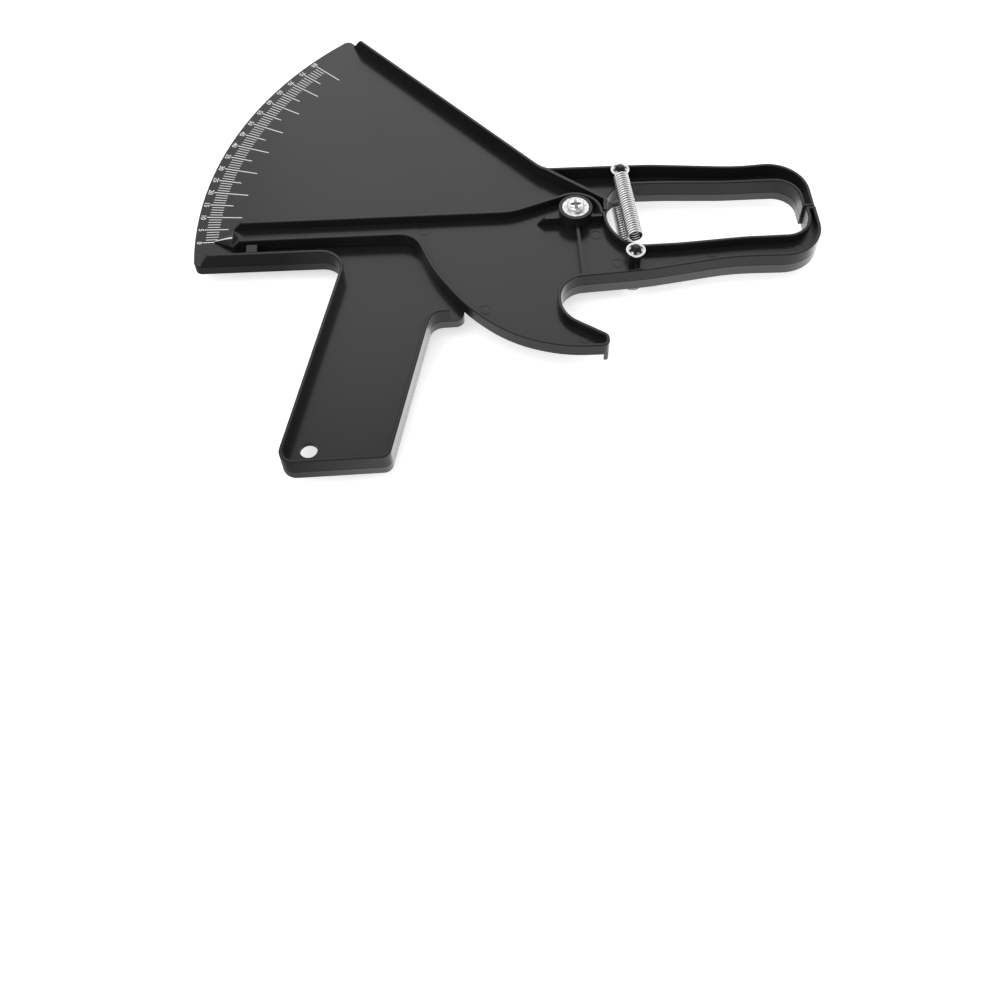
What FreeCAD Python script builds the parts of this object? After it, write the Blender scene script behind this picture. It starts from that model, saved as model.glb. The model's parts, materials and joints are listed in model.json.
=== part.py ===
import FreeCAD, Part
import math
import os

from FreeCAD import Matrix, Vector

# Skinfold caliper: a pistol-grip frame that carries the scale fan and the upper jaw, and a
# lever that carries the pointer, the finger hook and the lower jaw. Two extension springs,
# one in front and one behind, pull the jaws shut.
# All sizes are in millimetres. The pivot axis is the Z axis, the back rims lie on z = 0, the
# front faces +Z, the jaws point along +X and the zero mark of the scale lies on -X.

# ---- Driving dimensions ----------------------------------------------------------------
JAW_REACH = 105.0              # pivot axis to the middle of the jaw contact
SCALE_SPAN = 80.0              # largest skinfold on the scale, which is the jaw gap at full scale
FAN_RADIUS = 170.0             # pivot axis to the curved edge of the scale plate
BODY_DEPTH = 11.2              # back rim to front rim
WALL = 1.5                     # thickness of the rim walls
WEB = 2.0                      # thickness of both webs

OPEN_ANGLE = 2 * math.degrees(math.asin(SCALE_SPAN / 2 / JAW_REACH))

# ---- Layers through the thickness --------------------------------------------------------
FRAME_WEB_FRONT = 5.0          # face of the scale plate, and of the whole frame web
FRAME_WEB_BACK = FRAME_WEB_FRONT - WEB
SLIDE_GAP = 0.2                # between the frame web and the lever that sweeps over it
LEVER_WEB_BACK = FRAME_WEB_FRONT + SLIDE_GAP
LEVER_WEB_FRONT = LEVER_WEB_BACK + WEB
MID_DEPTH = BODY_DEPTH / 2

# ---- Moulded edges ------------------------------------------------------------------------
RIM_ROUND = 0.38               # free edges of the walls
PARTING_WIDTH = 0.25           # line round the sides where the halves of the mould met
PARTING_DEPTH = 0.15
FRAME_PARTING = 4.3
LEVER_PARTING = LEVER_WEB_BACK + PARTING_WIDTH / 2
EJECTOR_RADIUS = 2.5           # rings that the ejector pins left on the lever web
EJECTOR_WIDTH = 0.3
EJECTOR_DEPTH = 0.15

# ---- Pivot -------------------------------------------------------------------------------
WASHER_RADIUS = 5.9
WASHER_THICKNESS = 0.9
WASHER_CLEARANCE = 0.4         # round the washer in the recess of the boss
SCREW_RADIUS = 1.975           # M4 shank
SCREW_CLEARANCE = 0.175        # round the shank in the hub and in the washers
SCREW_TAIL = 0.2               # end of the shank beyond the nut
THREAD_FIT = 0.01
HEAD_RADIUS = 3.9
HEAD_HEIGHT = 1.9
HEAD_ROUND = 1.5
RECESS_LENGTH = 5.4            # cross recess, which narrows towards its floor
RECESS_FLOOR_LENGTH = 2.0
RECESS_WIDTH = 1.5
RECESS_DEPTH = 1.2
NUT_ACROSS_FLATS = 7.0
NUT_HEIGHT = 4.6
NUT_COLLAR_HEIGHT = 1.4
NUT_COLLAR_RADIUS = 3.1
HUB_RADIUS = 4.1               # bearing tube on the frame
HUB_FIT = 0.05                 # radial running clearance of the lever on the tube
HUB_RISE = 2.2                 # tube above the front rims
HUB_TOP = BODY_DEPTH + HUB_RISE
HUB_BORE_RADIUS = SCREW_RADIUS + SCREW_CLEARANCE
HUB_BACK_RADIUS = 6.5
BOSS_RADIUS = 7.4              # boss on the lever
BOSS_TOP = HUB_TOP + WASHER_THICKNESS
SCREW_LENGTH = BOSS_TOP + WASHER_THICKNESS + NUT_HEIGHT + SCREW_TAIL

# ---- Clearances of the swing -------------------------------------------------------------
FRAME_DISC_RADIUS = 12.1       # frame web round the hub
LEVER_RING_RADIUS = 12.5       # round wall of the lever about the pivot
RING_CLEARANCE = 0.4
JAW_GAP = 0.2                  # between the closed jaw tips
JAW_LINE_Y = -4.2              # contact line of the tips
UPPER_JAW_Y = JAW_LINE_Y + JAW_GAP / 2
LOWER_JAW_Y = JAW_LINE_Y - JAW_GAP / 2

# ---- Springs and their posts --------------------------------------------------------------
UPPER_POST = (22.0, 20.1)
LOWER_POST = (22.9, -29.4)
POST_BASE_RADIUS = 2.8
PIN_RADIUS = 2.3
PIN_DOME = 1.6
COIL_RADIUS = 3.55
COIL_CLEARANCE = 0.4           # between the coil and the front rims
WIRE_RADIUS = 0.5
HOOK_FIT = 0.05
HOOK_WRAP = 285.0              # degrees of wire round the pin
HOOK_RIDE = 0.15               # between the hook and the shoulder or the clip
COIL_TOP_FROM_POST = (0.0, -3.7)
COIL_BOTTOM_FROM_POST = (0.85, 8.2)
CLIP_RADIUS = 4.2
CLIP_THICKNESS = 0.5
CLIP_FIT = 0.02
CLIP_SLOTS = 6
CLIP_SLOT_WIDTH = 0.8
CLIP_SLOT_REACH = 3.2
PIN_ABOVE_CLIP = 1.7

COIL_Z = BODY_DEPTH + COIL_CLEARANCE + COIL_RADIUS
SHOULDER_Z = COIL_Z - WIRE_RADIUS - HOOK_RIDE
CLIP_Z = COIL_Z + WIRE_RADIUS + HOOK_RIDE
PIN_TOP = CLIP_Z + CLIP_THICKNESS + PIN_ABOVE_CLIP
COIL_TOP = (UPPER_POST[0] + COIL_TOP_FROM_POST[0], UPPER_POST[1] + COIL_TOP_FROM_POST[1])
COIL_BOTTOM = (LOWER_POST[0] + COIL_BOTTOM_FROM_POST[0],
               LOWER_POST[1] + COIL_BOTTOM_FROM_POST[1])

# ---- Frame details -------------------------------------------------------------------------
HANG_HOLE = (-116.7, -115.8)
HANG_HOLE_RADIUS = 3.5
HANDLE_TOP_Y = -20.0           # the handle lies below this and is clear of the fan radius
BRACE_THICKNESS = 1.4          # slanted wall between the flange and the jaw
BRACE_LINE = ((-14.0, 31.3), (15.5, 6.7))
STOP_FROM_FAN_EDGE = 24.7      # block that the arm rests on at zero
STOP_LENGTH = 4.6
STOP_Y = (-13.4, -9.1)
SWEEP_REGION = (-58.0, 14.4, -60.0, 0.3)        # x and y where the lever passes over the web
FAN_CORNER_ROUND = 3.0
FAN_LIP = 0.1                  # from the inside of a wall to where the fan edge ends it
RAMP_SPREAD = 30.0
LOWER_FLANGE_RAMP = (180.0, 3.6, 7.5)           # direction, foot and rim end from the fan edge
UPPER_FLANGE_RAMP = (130.2, 6.0, 11.0)
RAMP_ROUND = 2.0               # where a ramp meets the rim
FAR_OUT = 1.2 * FAN_RADIUS     # outline corners that the fan radius cuts off

# ---- Lever details --------------------------------------------------------------------------
ARM_FROM_FAN_EDGE = 17.5
ARM_LOW_Y = -6.6
ARM_HIGH_Y = 5.75
ARM_END_X = ARM_FROM_FAN_EDGE - FAN_RADIUS
ARM_CORNER_ROUND = 1.2
ARM_RAMP = 3.8                 # length of the ramps at the free ends of the arm walls
POINTER_TIP = (8.7 - FAN_RADIUS, -0.2)
POINTER_BEND = (13.6 - FAN_RADIUS, -0.6)        # where the crest turns flatter
POINTER_CREST_Y = -0.85
POINTER_HALF_WIDTH = 5.0
POINTER_TIP_HEIGHT = 0.5       # heights above the back of the lever web
POINTER_BEND_HEIGHT = 2.1
POINTER_CREST_HEIGHT = 2.9
POINTER_EDGE_HEIGHT = 1.9
POINTER_FOOT = 2.4             # from the end of the arm to where the crest sinks into it
RIB = 1.3
SIDE_RIB_Y = -2.6
SIDE_RIB_REACH = -13.8
SIDE_RIB_FOOT = -17.2
DOWN_RIB_X = 0.1
DOWN_RIB_END_Y = -37.3
POST_RIB_X = 22.9
POST_RIB_END_Y = -36.2
POST_RIB_DROP = 0.6
HOOK_WALL_END = (5.2, -75.3)   # end of the back wall at the tip of the finger hook

# Corners of the outlines: x, y, rounding radius. The interior lies to the left.
FRAME_CORNERS = [
    (-FAR_OUT, -13.56, 0),
    (-101.9, -15.8, 9.3),          # flange into the handle
    (-129.1, -125.4, 6.0),
    (-84.4, -125.4, 4.0),
    (-65.9, -53.2, 6.0),           # handle into the ledge
    (-52.0, -53.2, 4.0),
    (-52.0, -32.0, 8.0),
    (-43.0, -19.5, 8.0),
    (-4.0, -19.5, 3.0),
    (-4.0, -8.0, 0),
    (8.0, 0.4, 0),
    (14.3, 0.4, 0.4),
    (14.3, 16.1, 12.6),            # round end of the jaw window
    (42.0, 15.1, 80.0),
    (68.0, 13.1, 80.0),
    (JAW_REACH - 3.8, 12.5, 10.0),
    (JAW_REACH - 3.8, UPPER_JAW_Y, 0.4),
    (JAW_REACH + 1.6, UPPER_JAW_Y, 0.4),
    (JAW_REACH + 1.6, 25.3, 17.5),
    (76.0, 23.4, 90.0),
    (36.0, 27.9, 120.0),
    (-11.7, 29.2, 6.0),            # upper jaw into the slanted flange
    (-11.7 - 0.646 * FAR_OUT, 29.2 + 0.764 * FAR_OUT, 0),
    (-FAR_OUT, FAR_OUT / 2, 0),
]

LEVER_CORNERS = [
    (ARM_END_X, ARM_LOW_Y, ARM_CORNER_ROUND),
    (-72.0, -8.1, 10.0),           # arm into the sector
    (-64.6, -29.7, 66.0),
    (-51.8, -51.0, 80.0),
    (-33.5, -68.7, 58.0),
    (-11.4, -76.3, 60.0),
    (7.1, -76.9, 3.3),             # tip of the finger hook
    (7.0, -70.6, 3.0),
    (-11.0, -58.1, 14.0),
    (-11.0, -38.5, 11.6),
    (28.0, -36.8, 120.0),
    (66.0, -31.8, 110.0),
    (JAW_REACH + 1.9, -33.5, 18.0),
    (JAW_REACH + 1.9, LOWER_JAW_Y, 0.4),
    (JAW_REACH - 2.6, LOWER_JAW_Y, 0.4),
    (JAW_REACH - 2.6, -20.6, 11.0),
    (72.0, -20.2, 100.0),
    (44.0, -21.6, 100.0),
    (22.0, -21.6, 14.0),
    (13.5, -9.8, 21.0),
    (13.5, -0.3, 0.3),
    (6.0, -0.3, 0),
    (-4.06, 11.8, 0),
    (-28.5, 3.4, 25.0),
    (ARM_END_X, ARM_HIGH_Y, ARM_CORNER_ROUND),
]

EJECTOR_MARKS = [
    (8.3, -10.9),
    (15.5, -28.2),
    (58.1, -25.5),
    (95.8, -25.0),
    (-43.2, -50.6),
    (-2.7, -69.3),
    (-67.9, -2.8),
    (-121.8, 0.2),
]

# Parts of the lever outline that carry a wall on the back as well: the lower jaw with its
# round window end, and the finger hook up to its tip.
LEVER_BACK_WALL_REGION = [
    (9.0, 0.5, 0),
    (6.0, -12.0, 0),
    (12.0, -30.0, 0),
    (-16.0, -30.0, 0),
    (-16.0, -60.0, 0),
    (*HOOK_WALL_END, 0),
    (9.0, HOOK_WALL_END[1], 0),
    (9.0, -60.0, 0),
    (JAW_REACH + 15.0, -50.0, 0),
    (JAW_REACH + 15.0, 0.5, 0),
]


def rounded_face(corners):
    """Flat face from corner points, each with its own rounding radius."""
    points = [Vector(x, y, 0) for x, y, radius in corners]
    count = len(points)
    edges = []
    first = None
    last = None
    for i, here in enumerate(points):
        to_last = (points[i - 1] - here).normalize()
        to_next = (points[(i + 1) % count] - here).normalize()
        half = to_last.getAngle(to_next) / 2
        radius = corners[i][2]
        start = here
        end = here
        if radius:
            reach = radius / math.tan(half)
            start = here + to_last * reach
            end = here + to_next * reach
            centre = here + (to_last + to_next).normalize() * (radius / math.sin(half))
            middle = centre + (here - centre).normalize() * radius
        if last is not None:
            edges.append(Part.LineSegment(last, start).toShape())
        if radius:
            edges.append(Part.Arc(start, middle, end).toShape())
        if first is None:
            first = start
        last = end
    edges.append(Part.LineSegment(last, first).toShape())
    return Part.Face(Part.Wire(edges))


def slab(face, z_from, z_to):
    lifted = face.copy()
    lifted.translate(Vector(0, 0, z_from))
    return lifted.extrude(Vector(0, 0, z_to - z_from))


def cylinder(radius, z_from, z_to, x=0.0, y=0.0):
    return Part.makeCylinder(radius, z_to - z_from, Vector(x, y, z_from))


def box(x_from, x_to, y_from, y_to, z_from, z_to):
    corner = Vector(x_from, y_from, z_from)
    return Part.makeBox(x_to - x_from, y_to - y_from, z_to - z_from, corner)


def base_face(solid):
    """Lowest flat face of an upright slab."""
    return min(solid.Faces, key=lambda face: face.CenterOfMass.z)


def inside_band(face, width, z_from, z_to):
    """Band of even width just inside an outline."""
    inner = face.makeOffset2D(-width)
    return slab(face, z_from, z_to).cut(slab(inner, z_from - 1, z_to + 1))


def rim(face, z_web, z_free):
    """Wall that stands on the web along an outline, with rounded free edges."""
    wall = inside_band(face, WALL, min(z_web, z_free), max(z_web, z_free))
    free = [edge for edge in wall.Edges
            if all(abs(vertex.Z - z_free) < 0.001 for vertex in edge.Vertexes)]
    return wall.makeFillet(RIM_ROUND, free)


def parting_line(face, height):
    """What is taken off the sides of a moulding for its parting line."""
    return inside_band(face, PARTING_DEPTH, height - PARTING_WIDTH / 2,
                       height + PARTING_WIDTH / 2)


def mirrored(shape):
    """The same shape on the other side of the middle of the thickness."""
    return shape.mirror(Vector(0, 0, MID_DEPTH), Vector(0, 0, 1))


def post(place, z_from):
    """Stepped spring post with a domed pin."""
    x, y = place
    base = cylinder(POST_BASE_RADIUS, z_from, SHOULDER_Z, x, y)
    pin = cylinder(PIN_RADIUS, SHOULDER_Z, PIN_TOP, x, y)
    top = [edge for edge in pin.Edges if edge.CenterOfMass.z > PIN_TOP - 0.1 and edge.Closed]
    return base.fuse(pin.makeFillet(PIN_DOME, top))


def wall_end(direction, foot, rim_end):
    """What is taken off a flange wall so that it runs out to the plate in a ramp."""
    foot_x = FAN_RADIUS - foot
    rim_x = FAN_RADIUS - rim_end
    profile = rounded_face([
        (FAR_OUT, FRAME_WEB_FRONT, 0),
        (FAR_OUT, BODY_DEPTH + 1, 0),
        (rim_x - 2 * RAMP_ROUND, BODY_DEPTH + 1, 0),
        (rim_x - 2 * RAMP_ROUND, BODY_DEPTH, 0),
        (rim_x, BODY_DEPTH, RAMP_ROUND),
        (foot_x, FRAME_WEB_FRONT, 0),
    ])
    profile.rotate(Vector(0, 0, 0), Vector(1, 0, 0), 90)
    profile.translate(Vector(0, RAMP_SPREAD, 0))
    prism = profile.extrude(Vector(0, -2 * RAMP_SPREAD, 0))
    prism.rotate(Vector(0, 0, 0), Vector(0, 0, 1), direction)
    return prism


def fan_limit(radius, height):
    """Everything within a radius of the pivot, and the whole of the handle."""
    handle = box(-FAN_RADIUS, 0, -FAN_RADIUS, HANDLE_TOP_Y, 0, height)
    return cylinder(radius, 0, height).fuse(handle)


def frame_outline():
    """Outline of the frame web: corners, cut to the fan radius, with the disc round the hub."""
    plan = slab(rounded_face(FRAME_CORNERS), 0, 1).common(fan_limit(FAN_RADIUS, 1))
    corners = []
    for edge in plan.Edges:
        upright = abs(edge.tangentAt(edge.FirstParameter).z) > 0.99
        middle = edge.CenterOfMass
        at_edge = abs(math.hypot(middle.x, middle.y) - FAN_RADIUS) < 0.01
        if upright and at_edge:
            corners.append(edge)
    plan = plan.makeFillet(FAN_CORNER_ROUND, corners)
    plan = plan.fuse(cylinder(FRAME_DISC_RADIUS, 0, 1)).removeSplitter()
    return Part.Face(base_face(plan).OuterWire)


def lever_outline():
    plan = slab(rounded_face(LEVER_CORNERS), 0, 1)
    plan = plan.fuse(cylinder(LEVER_RING_RADIUS, 0, 1)).removeSplitter()
    return Part.Face(base_face(plan).OuterWire)


def brace():
    start = Vector(*BRACE_LINE[0], 0)
    end = Vector(*BRACE_LINE[1], 0)
    side = (end - start).cross(Vector(0, 0, 1)).normalize() * (BRACE_THICKNESS / 2)
    corners = [start + side, start - side, end - side, end + side, start + side]
    return Part.Face(Part.makePolygon(corners))


def make_frame():
    outline = frame_outline()
    web = slab(outline, FRAME_WEB_BACK, FRAME_WEB_FRONT)
    back_walls = rim(outline, FRAME_WEB_BACK, 0)

    front_walls = rim(outline, FRAME_WEB_FRONT, BODY_DEPTH)
    front_walls = front_walls.common(fan_limit(FAN_RADIUS - WALL - FAN_LIP, BODY_DEPTH))
    swept = cylinder(LEVER_RING_RADIUS + RING_CLEARANCE, 0, BODY_DEPTH + 1)
    passed_over = box(*SWEEP_REGION, 0, BODY_DEPTH + 1)
    front_walls = front_walls.cut(swept).cut(passed_over)
    for end in (LOWER_FLANGE_RAMP, UPPER_FLANGE_RAMP):
        front_walls = front_walls.cut(wall_end(*end))

    inside = slab(outline, 0, BODY_DEPTH)
    braces = slab(brace(), 0, BODY_DEPTH).common(inside).cut(swept)
    stop_x = STOP_FROM_FAN_EDGE - FAN_RADIUS
    stop = box(stop_x, stop_x + STOP_LENGTH, *STOP_Y, FRAME_WEB_FRONT, BODY_DEPTH)

    hub = cylinder(HUB_RADIUS, 0, HUB_TOP)
    hub_back = cylinder(HUB_BACK_RADIUS, 0, FRAME_WEB_FRONT)
    front_post = post(UPPER_POST, FRAME_WEB_BACK)

    frame = web.fuse([back_walls, front_walls, braces, stop, hub, hub_back,
                      front_post, mirrored(front_post)])
    frame = frame.cut(cylinder(HUB_BORE_RADIUS, -1, HUB_TOP + 1))
    frame = frame.cut(cylinder(HANG_HOLE_RADIUS, -1, BODY_DEPTH, *HANG_HOLE))
    return frame.cut(parting_line(outline, FRAME_PARTING)).removeSplitter()


def pointer():
    """Pointed ridge at the end of the arm, with a crest that runs down to the tip."""

    def at(x, y, height):
        return Vector(x, y, LEVER_WEB_BACK + height)

    up = POINTER_CREST_Y + POINTER_HALF_WIDTH
    down = POINTER_CREST_Y - POINTER_HALF_WIDTH
    foot_x = ARM_END_X + POINTER_FOOT
    tip_low = at(*POINTER_TIP, 0)
    tip_high = at(*POINTER_TIP, POINTER_TIP_HEIGHT)
    up_low = at(ARM_END_X, up, 0)
    up_high = at(ARM_END_X, up, POINTER_EDGE_HEIGHT)
    down_low = at(ARM_END_X, down, 0)
    down_high = at(ARM_END_X, down, POINTER_EDGE_HEIGHT)
    bend = at(*POINTER_BEND, POINTER_BEND_HEIGHT)
    crest = at(ARM_END_X, POINTER_CREST_Y, POINTER_CREST_HEIGHT)
    foot_low = at(foot_x, POINTER_CREST_Y, 0)
    foot_high = at(foot_x, POINTER_CREST_Y, WEB)
    loops = [
        (tip_low, up_low, foot_low, down_low),
        (tip_low, tip_high, up_high, up_low),
        (tip_low, down_low, down_high, tip_high),
        (tip_high, bend, up_high),
        (bend, crest, up_high),
        (crest, foot_high, up_high),
        (tip_high, down_high, bend),
        (bend, down_high, crest),
        (crest, down_high, foot_high),
        (up_low, up_high, foot_high, foot_low),
        (down_low, foot_low, foot_high, down_high),
    ]
    faces = [Part.Face(Part.makePolygon(list(loop) + [loop[0]])) for loop in loops]
    return Part.Solid(Part.Shell(faces))


def arm_ramp():
    """What is taken off the arm walls so that they rise from the web in a ramp."""
    profile = rounded_face([
        (ARM_END_X - 1, LEVER_WEB_FRONT, 0),
        (ARM_END_X, LEVER_WEB_FRONT, 0),
        (ARM_END_X + ARM_RAMP, BODY_DEPTH, RAMP_ROUND / 2),
        (ARM_END_X + 2 * ARM_RAMP, BODY_DEPTH, 0),
        (ARM_END_X + 2 * ARM_RAMP, BODY_DEPTH + 1, 0),
        (ARM_END_X - 1, BODY_DEPTH + 1, 0),
    ])
    profile.rotate(Vector(0, 0, 0), Vector(1, 0, 0), 90)
    profile.translate(Vector(0, ARM_HIGH_Y + 1, 0))
    return profile.extrude(Vector(0, ARM_LOW_Y - ARM_HIGH_Y - 2, 0))


def side_rib():
    """Rib on the left of the boss, with a ramp at its free end."""
    y_from = SIDE_RIB_Y - RIB / 2
    profile = [
        Vector(-HUB_RADIUS - 1, y_from, LEVER_WEB_BACK),
        Vector(-HUB_RADIUS - 1, y_from, BODY_DEPTH),
        Vector(SIDE_RIB_REACH, y_from, BODY_DEPTH),
        Vector(SIDE_RIB_FOOT, y_from, LEVER_WEB_FRONT),
        Vector(SIDE_RIB_FOOT, y_from, LEVER_WEB_BACK),
        Vector(-HUB_RADIUS - 1, y_from, LEVER_WEB_BACK),
    ]
    return Part.Face(Part.makePolygon(profile)).extrude(Vector(0, RIB, 0))


def ejector_ring(place):
    floor = LEVER_WEB_FRONT - EJECTOR_DEPTH
    ring = cylinder(EJECTOR_RADIUS, floor, LEVER_WEB_FRONT, *place)
    return ring.cut(cylinder(EJECTOR_RADIUS - EJECTOR_WIDTH, floor, LEVER_WEB_FRONT, *place))


def make_lever():
    outline = lever_outline()
    web = slab(outline, LEVER_WEB_BACK, LEVER_WEB_FRONT)
    open_end = box(ARM_END_X - 1, ARM_END_X + 2 * WALL, ARM_LOW_Y + WALL, ARM_HIGH_Y - WALL,
                   LEVER_WEB_FRONT, BODY_DEPTH)
    front_walls = rim(outline, LEVER_WEB_FRONT, BODY_DEPTH).cut(open_end).cut(arm_ramp())

    back_region = slab(rounded_face(LEVER_BACK_WALL_REGION), 0, LEVER_WEB_BACK)
    back_walls = rim(outline, LEVER_WEB_BACK, 0).common(back_region)
    back_walls = back_walls.cut(cylinder(LEVER_RING_RADIUS, 0, LEVER_WEB_BACK))

    boss = cylinder(BOSS_RADIUS, LEVER_WEB_BACK, BOSS_TOP)
    ring_inner = LEVER_RING_RADIUS - WALL / 2
    right_rib = box(HUB_RADIUS + 1, ring_inner, SIDE_RIB_Y - RIB / 2, SIDE_RIB_Y + RIB / 2,
                    LEVER_WEB_FRONT, BODY_DEPTH)
    down_rib = box(DOWN_RIB_X - RIB / 2, DOWN_RIB_X + RIB / 2, DOWN_RIB_END_Y, -HUB_RADIUS - 1,
                   LEVER_WEB_FRONT, BODY_DEPTH)
    post_rib = box(POST_RIB_X - RIB / 2, POST_RIB_X + RIB / 2, POST_RIB_END_Y, LOWER_POST[1],
                   LEVER_WEB_FRONT, BODY_DEPTH - POST_RIB_DROP)
    front_post = post(LOWER_POST, LEVER_WEB_BACK)

    lever = web.fuse([front_walls, back_walls, boss, right_rib, side_rib(), down_rib,
                      post_rib, front_post, mirrored(front_post)])
    lever = lever.cut(parting_line(outline, LEVER_PARTING)).fuse(pointer())
    lever = lever.cut([ejector_ring(mark) for mark in EJECTOR_MARKS])
    lever = lever.cut(cylinder(HUB_RADIUS + HUB_FIT, 0, BOSS_TOP + 1))
    recess_floor = HUB_TOP - SLIDE_GAP
    recess = cylinder(WASHER_RADIUS + WASHER_CLEARANCE, recess_floor, BOSS_TOP + 1)
    return lever.cut(recess).removeSplitter()


def make_screw():
    shank = cylinder(SCREW_RADIUS, BOSS_TOP - SCREW_LENGTH, BOSS_TOP)
    head = cylinder(HEAD_RADIUS, BOSS_TOP, BOSS_TOP + HEAD_HEIGHT)
    top = BOSS_TOP + HEAD_HEIGHT
    rim_edges = [edge for edge in head.Edges if edge.Closed and edge.CenterOfMass.z > top - 0.1]
    head = head.makeFillet(HEAD_ROUND, rim_edges)
    half = RECESS_LENGTH / 2
    floor_half = RECESS_FLOOR_LENGTH / 2
    floor = top - RECESS_DEPTH
    edge = [(-half, top), (-floor_half, floor), (floor_half, floor), (half, top),
            (half, top + 1), (-half, top + 1), (-half, top)]
    profile = Part.makePolygon([Vector(x, -RECESS_WIDTH / 2, z) for x, z in edge])
    slot = Part.Face(profile).extrude(Vector(0, RECESS_WIDTH, 0))
    crossing = slot.copy()
    crossing.rotate(Vector(0, 0, 0), Vector(0, 0, 1), 90)
    return shank.fuse(head).cut([slot, crossing]).removeSplitter()


def make_washer(z_from):
    disc = cylinder(WASHER_RADIUS, z_from, z_from + WASHER_THICKNESS)
    return disc.cut(cylinder(HUB_BORE_RADIUS, z_from - 1, z_from + 2))


def make_nut():
    """Self-locking hexagon nut with a round collar at its free end."""
    top = -WASHER_THICKNESS
    corner = NUT_ACROSS_FLATS / 2 / math.cos(math.radians(30))
    points = [Vector(corner, 0, 0)]
    turn = Matrix()
    turn.rotateZ(math.radians(60))
    for _ in range(6):
        points.append(turn.multVec(points[-1]))
    hexagon = Part.Face(Part.makePolygon(points))
    body = slab(hexagon, top - NUT_HEIGHT + NUT_COLLAR_HEIGHT, top)
    collar = cylinder(NUT_COLLAR_RADIUS, top - NUT_HEIGHT, top)
    bore = cylinder(SCREW_RADIUS + THREAD_FIT, top - NUT_HEIGHT - 1, 1)
    return body.fuse(collar).cut(bore).removeSplitter()


def make_clip(place):
    """Push-on ring that grips a post pin with the teeth between its slots."""
    x, y = place
    z_to = CLIP_Z + CLIP_THICKNESS
    ring = cylinder(CLIP_RADIUS, CLIP_Z, z_to, x, y)
    for i in range(CLIP_SLOTS):
        slot = box(0, CLIP_SLOT_REACH, -CLIP_SLOT_WIDTH / 2, CLIP_SLOT_WIDTH / 2,
                   CLIP_Z - 1, z_to + 1)
        slot.rotate(Vector(0, 0, 0), Vector(0, 0, 1), 360.0 / CLIP_SLOTS * i)
        slot.translate(Vector(x, y, 0))
        ring = ring.cut(slot)
    return ring.cut(cylinder(PIN_RADIUS + CLIP_FIT, CLIP_Z - 1, z_to + 1, x, y))


def hook(coil_end, side, pin, turn):
    """Wire from one side of the coil end across to the pin, and round it."""
    radius = PIN_RADIUS + HOOK_FIT + WIRE_RADIUS
    centre = Vector(*pin, COIL_Z)
    start = Vector(*coil_end, COIL_Z) + side
    to_centre = centre - start
    distance = to_centre.Length
    bearing = math.atan2(to_centre.y, to_centre.x)
    tangent = bearing + turn * math.asin(radius / distance)
    leg = math.sqrt(distance ** 2 - radius ** 2)
    touch = start + Vector(math.cos(tangent), math.sin(tangent), 0) * leg
    angle = math.atan2(touch.y - centre.y, touch.x - centre.x)

    def on_loop(part):
        at = angle - turn * math.radians(HOOK_WRAP) * part
        return centre + Vector(math.cos(at), math.sin(at), 0) * radius

    line = Part.LineSegment(start, touch).toShape()
    loop = Part.Arc(touch, on_loop(0.5), on_loop(1.0)).toShape()
    path = Part.Wire([line, loop])
    ring = Part.Wire(Part.makeCircle(WIRE_RADIUS, start, touch - start))
    return path.makePipeShell([ring], True, False)


def make_spring():
    """Close-wound extension spring as a tube of the coil's size, with a wire hook at each end."""
    top = Vector(*COIL_TOP, COIL_Z)
    bottom = Vector(*COIL_BOTTOM, COIL_Z)
    axis = (bottom - top).normalize()
    length = (bottom - top).Length
    coil = Part.makeCylinder(COIL_RADIUS, length, top, axis)
    coil = coil.cut(Part.makeCylinder(COIL_RADIUS - 2 * WIRE_RADIUS, length, top, axis))
    across = axis.cross(Vector(0, 0, 1)) * (COIL_RADIUS - WIRE_RADIUS)
    inset = axis * WIRE_RADIUS
    lower = hook(COIL_BOTTOM, across - inset, LOWER_POST, 1)
    upper = hook(COIL_TOP, inset - across, UPPER_POST, 1)
    return coil.fuse([lower, upper]).removeSplitter()


def save(name, shape):
    if not shape.isValid() or len(shape.Solids) != 1:
        raise ValueError(name + " is not one valid solid")
    shape.exportStep("parts/" + name + ".step")
    print(name, round(shape.Volume, 1), "mm3")


os.makedirs("parts", exist_ok=True)

front_spring = make_spring()
upper_clip = make_clip(UPPER_POST)
lower_clip = make_clip(LOWER_POST)

save("frame", make_frame())
save("lever", make_lever())
save("pivot_screw", make_screw())
save("front_washer", make_washer(HUB_TOP))
save("back_washer", make_washer(-WASHER_THICKNESS))
save("lock_nut", make_nut())
save("front_spring", front_spring)
save("back_spring", mirrored(front_spring))
save("upper_front_clip", upper_clip)
save("lower_front_clip", lower_clip)
save("upper_back_clip", mirrored(upper_clip))
save("lower_back_clip", mirrored(lower_clip))
print("opens", round(OPEN_ANGLE, 3), "degrees")
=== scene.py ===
import json
import math

import bmesh
import bpy
from mathutils import Matrix, Vector
from mathutils.bvhtree import BVHTree


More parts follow.
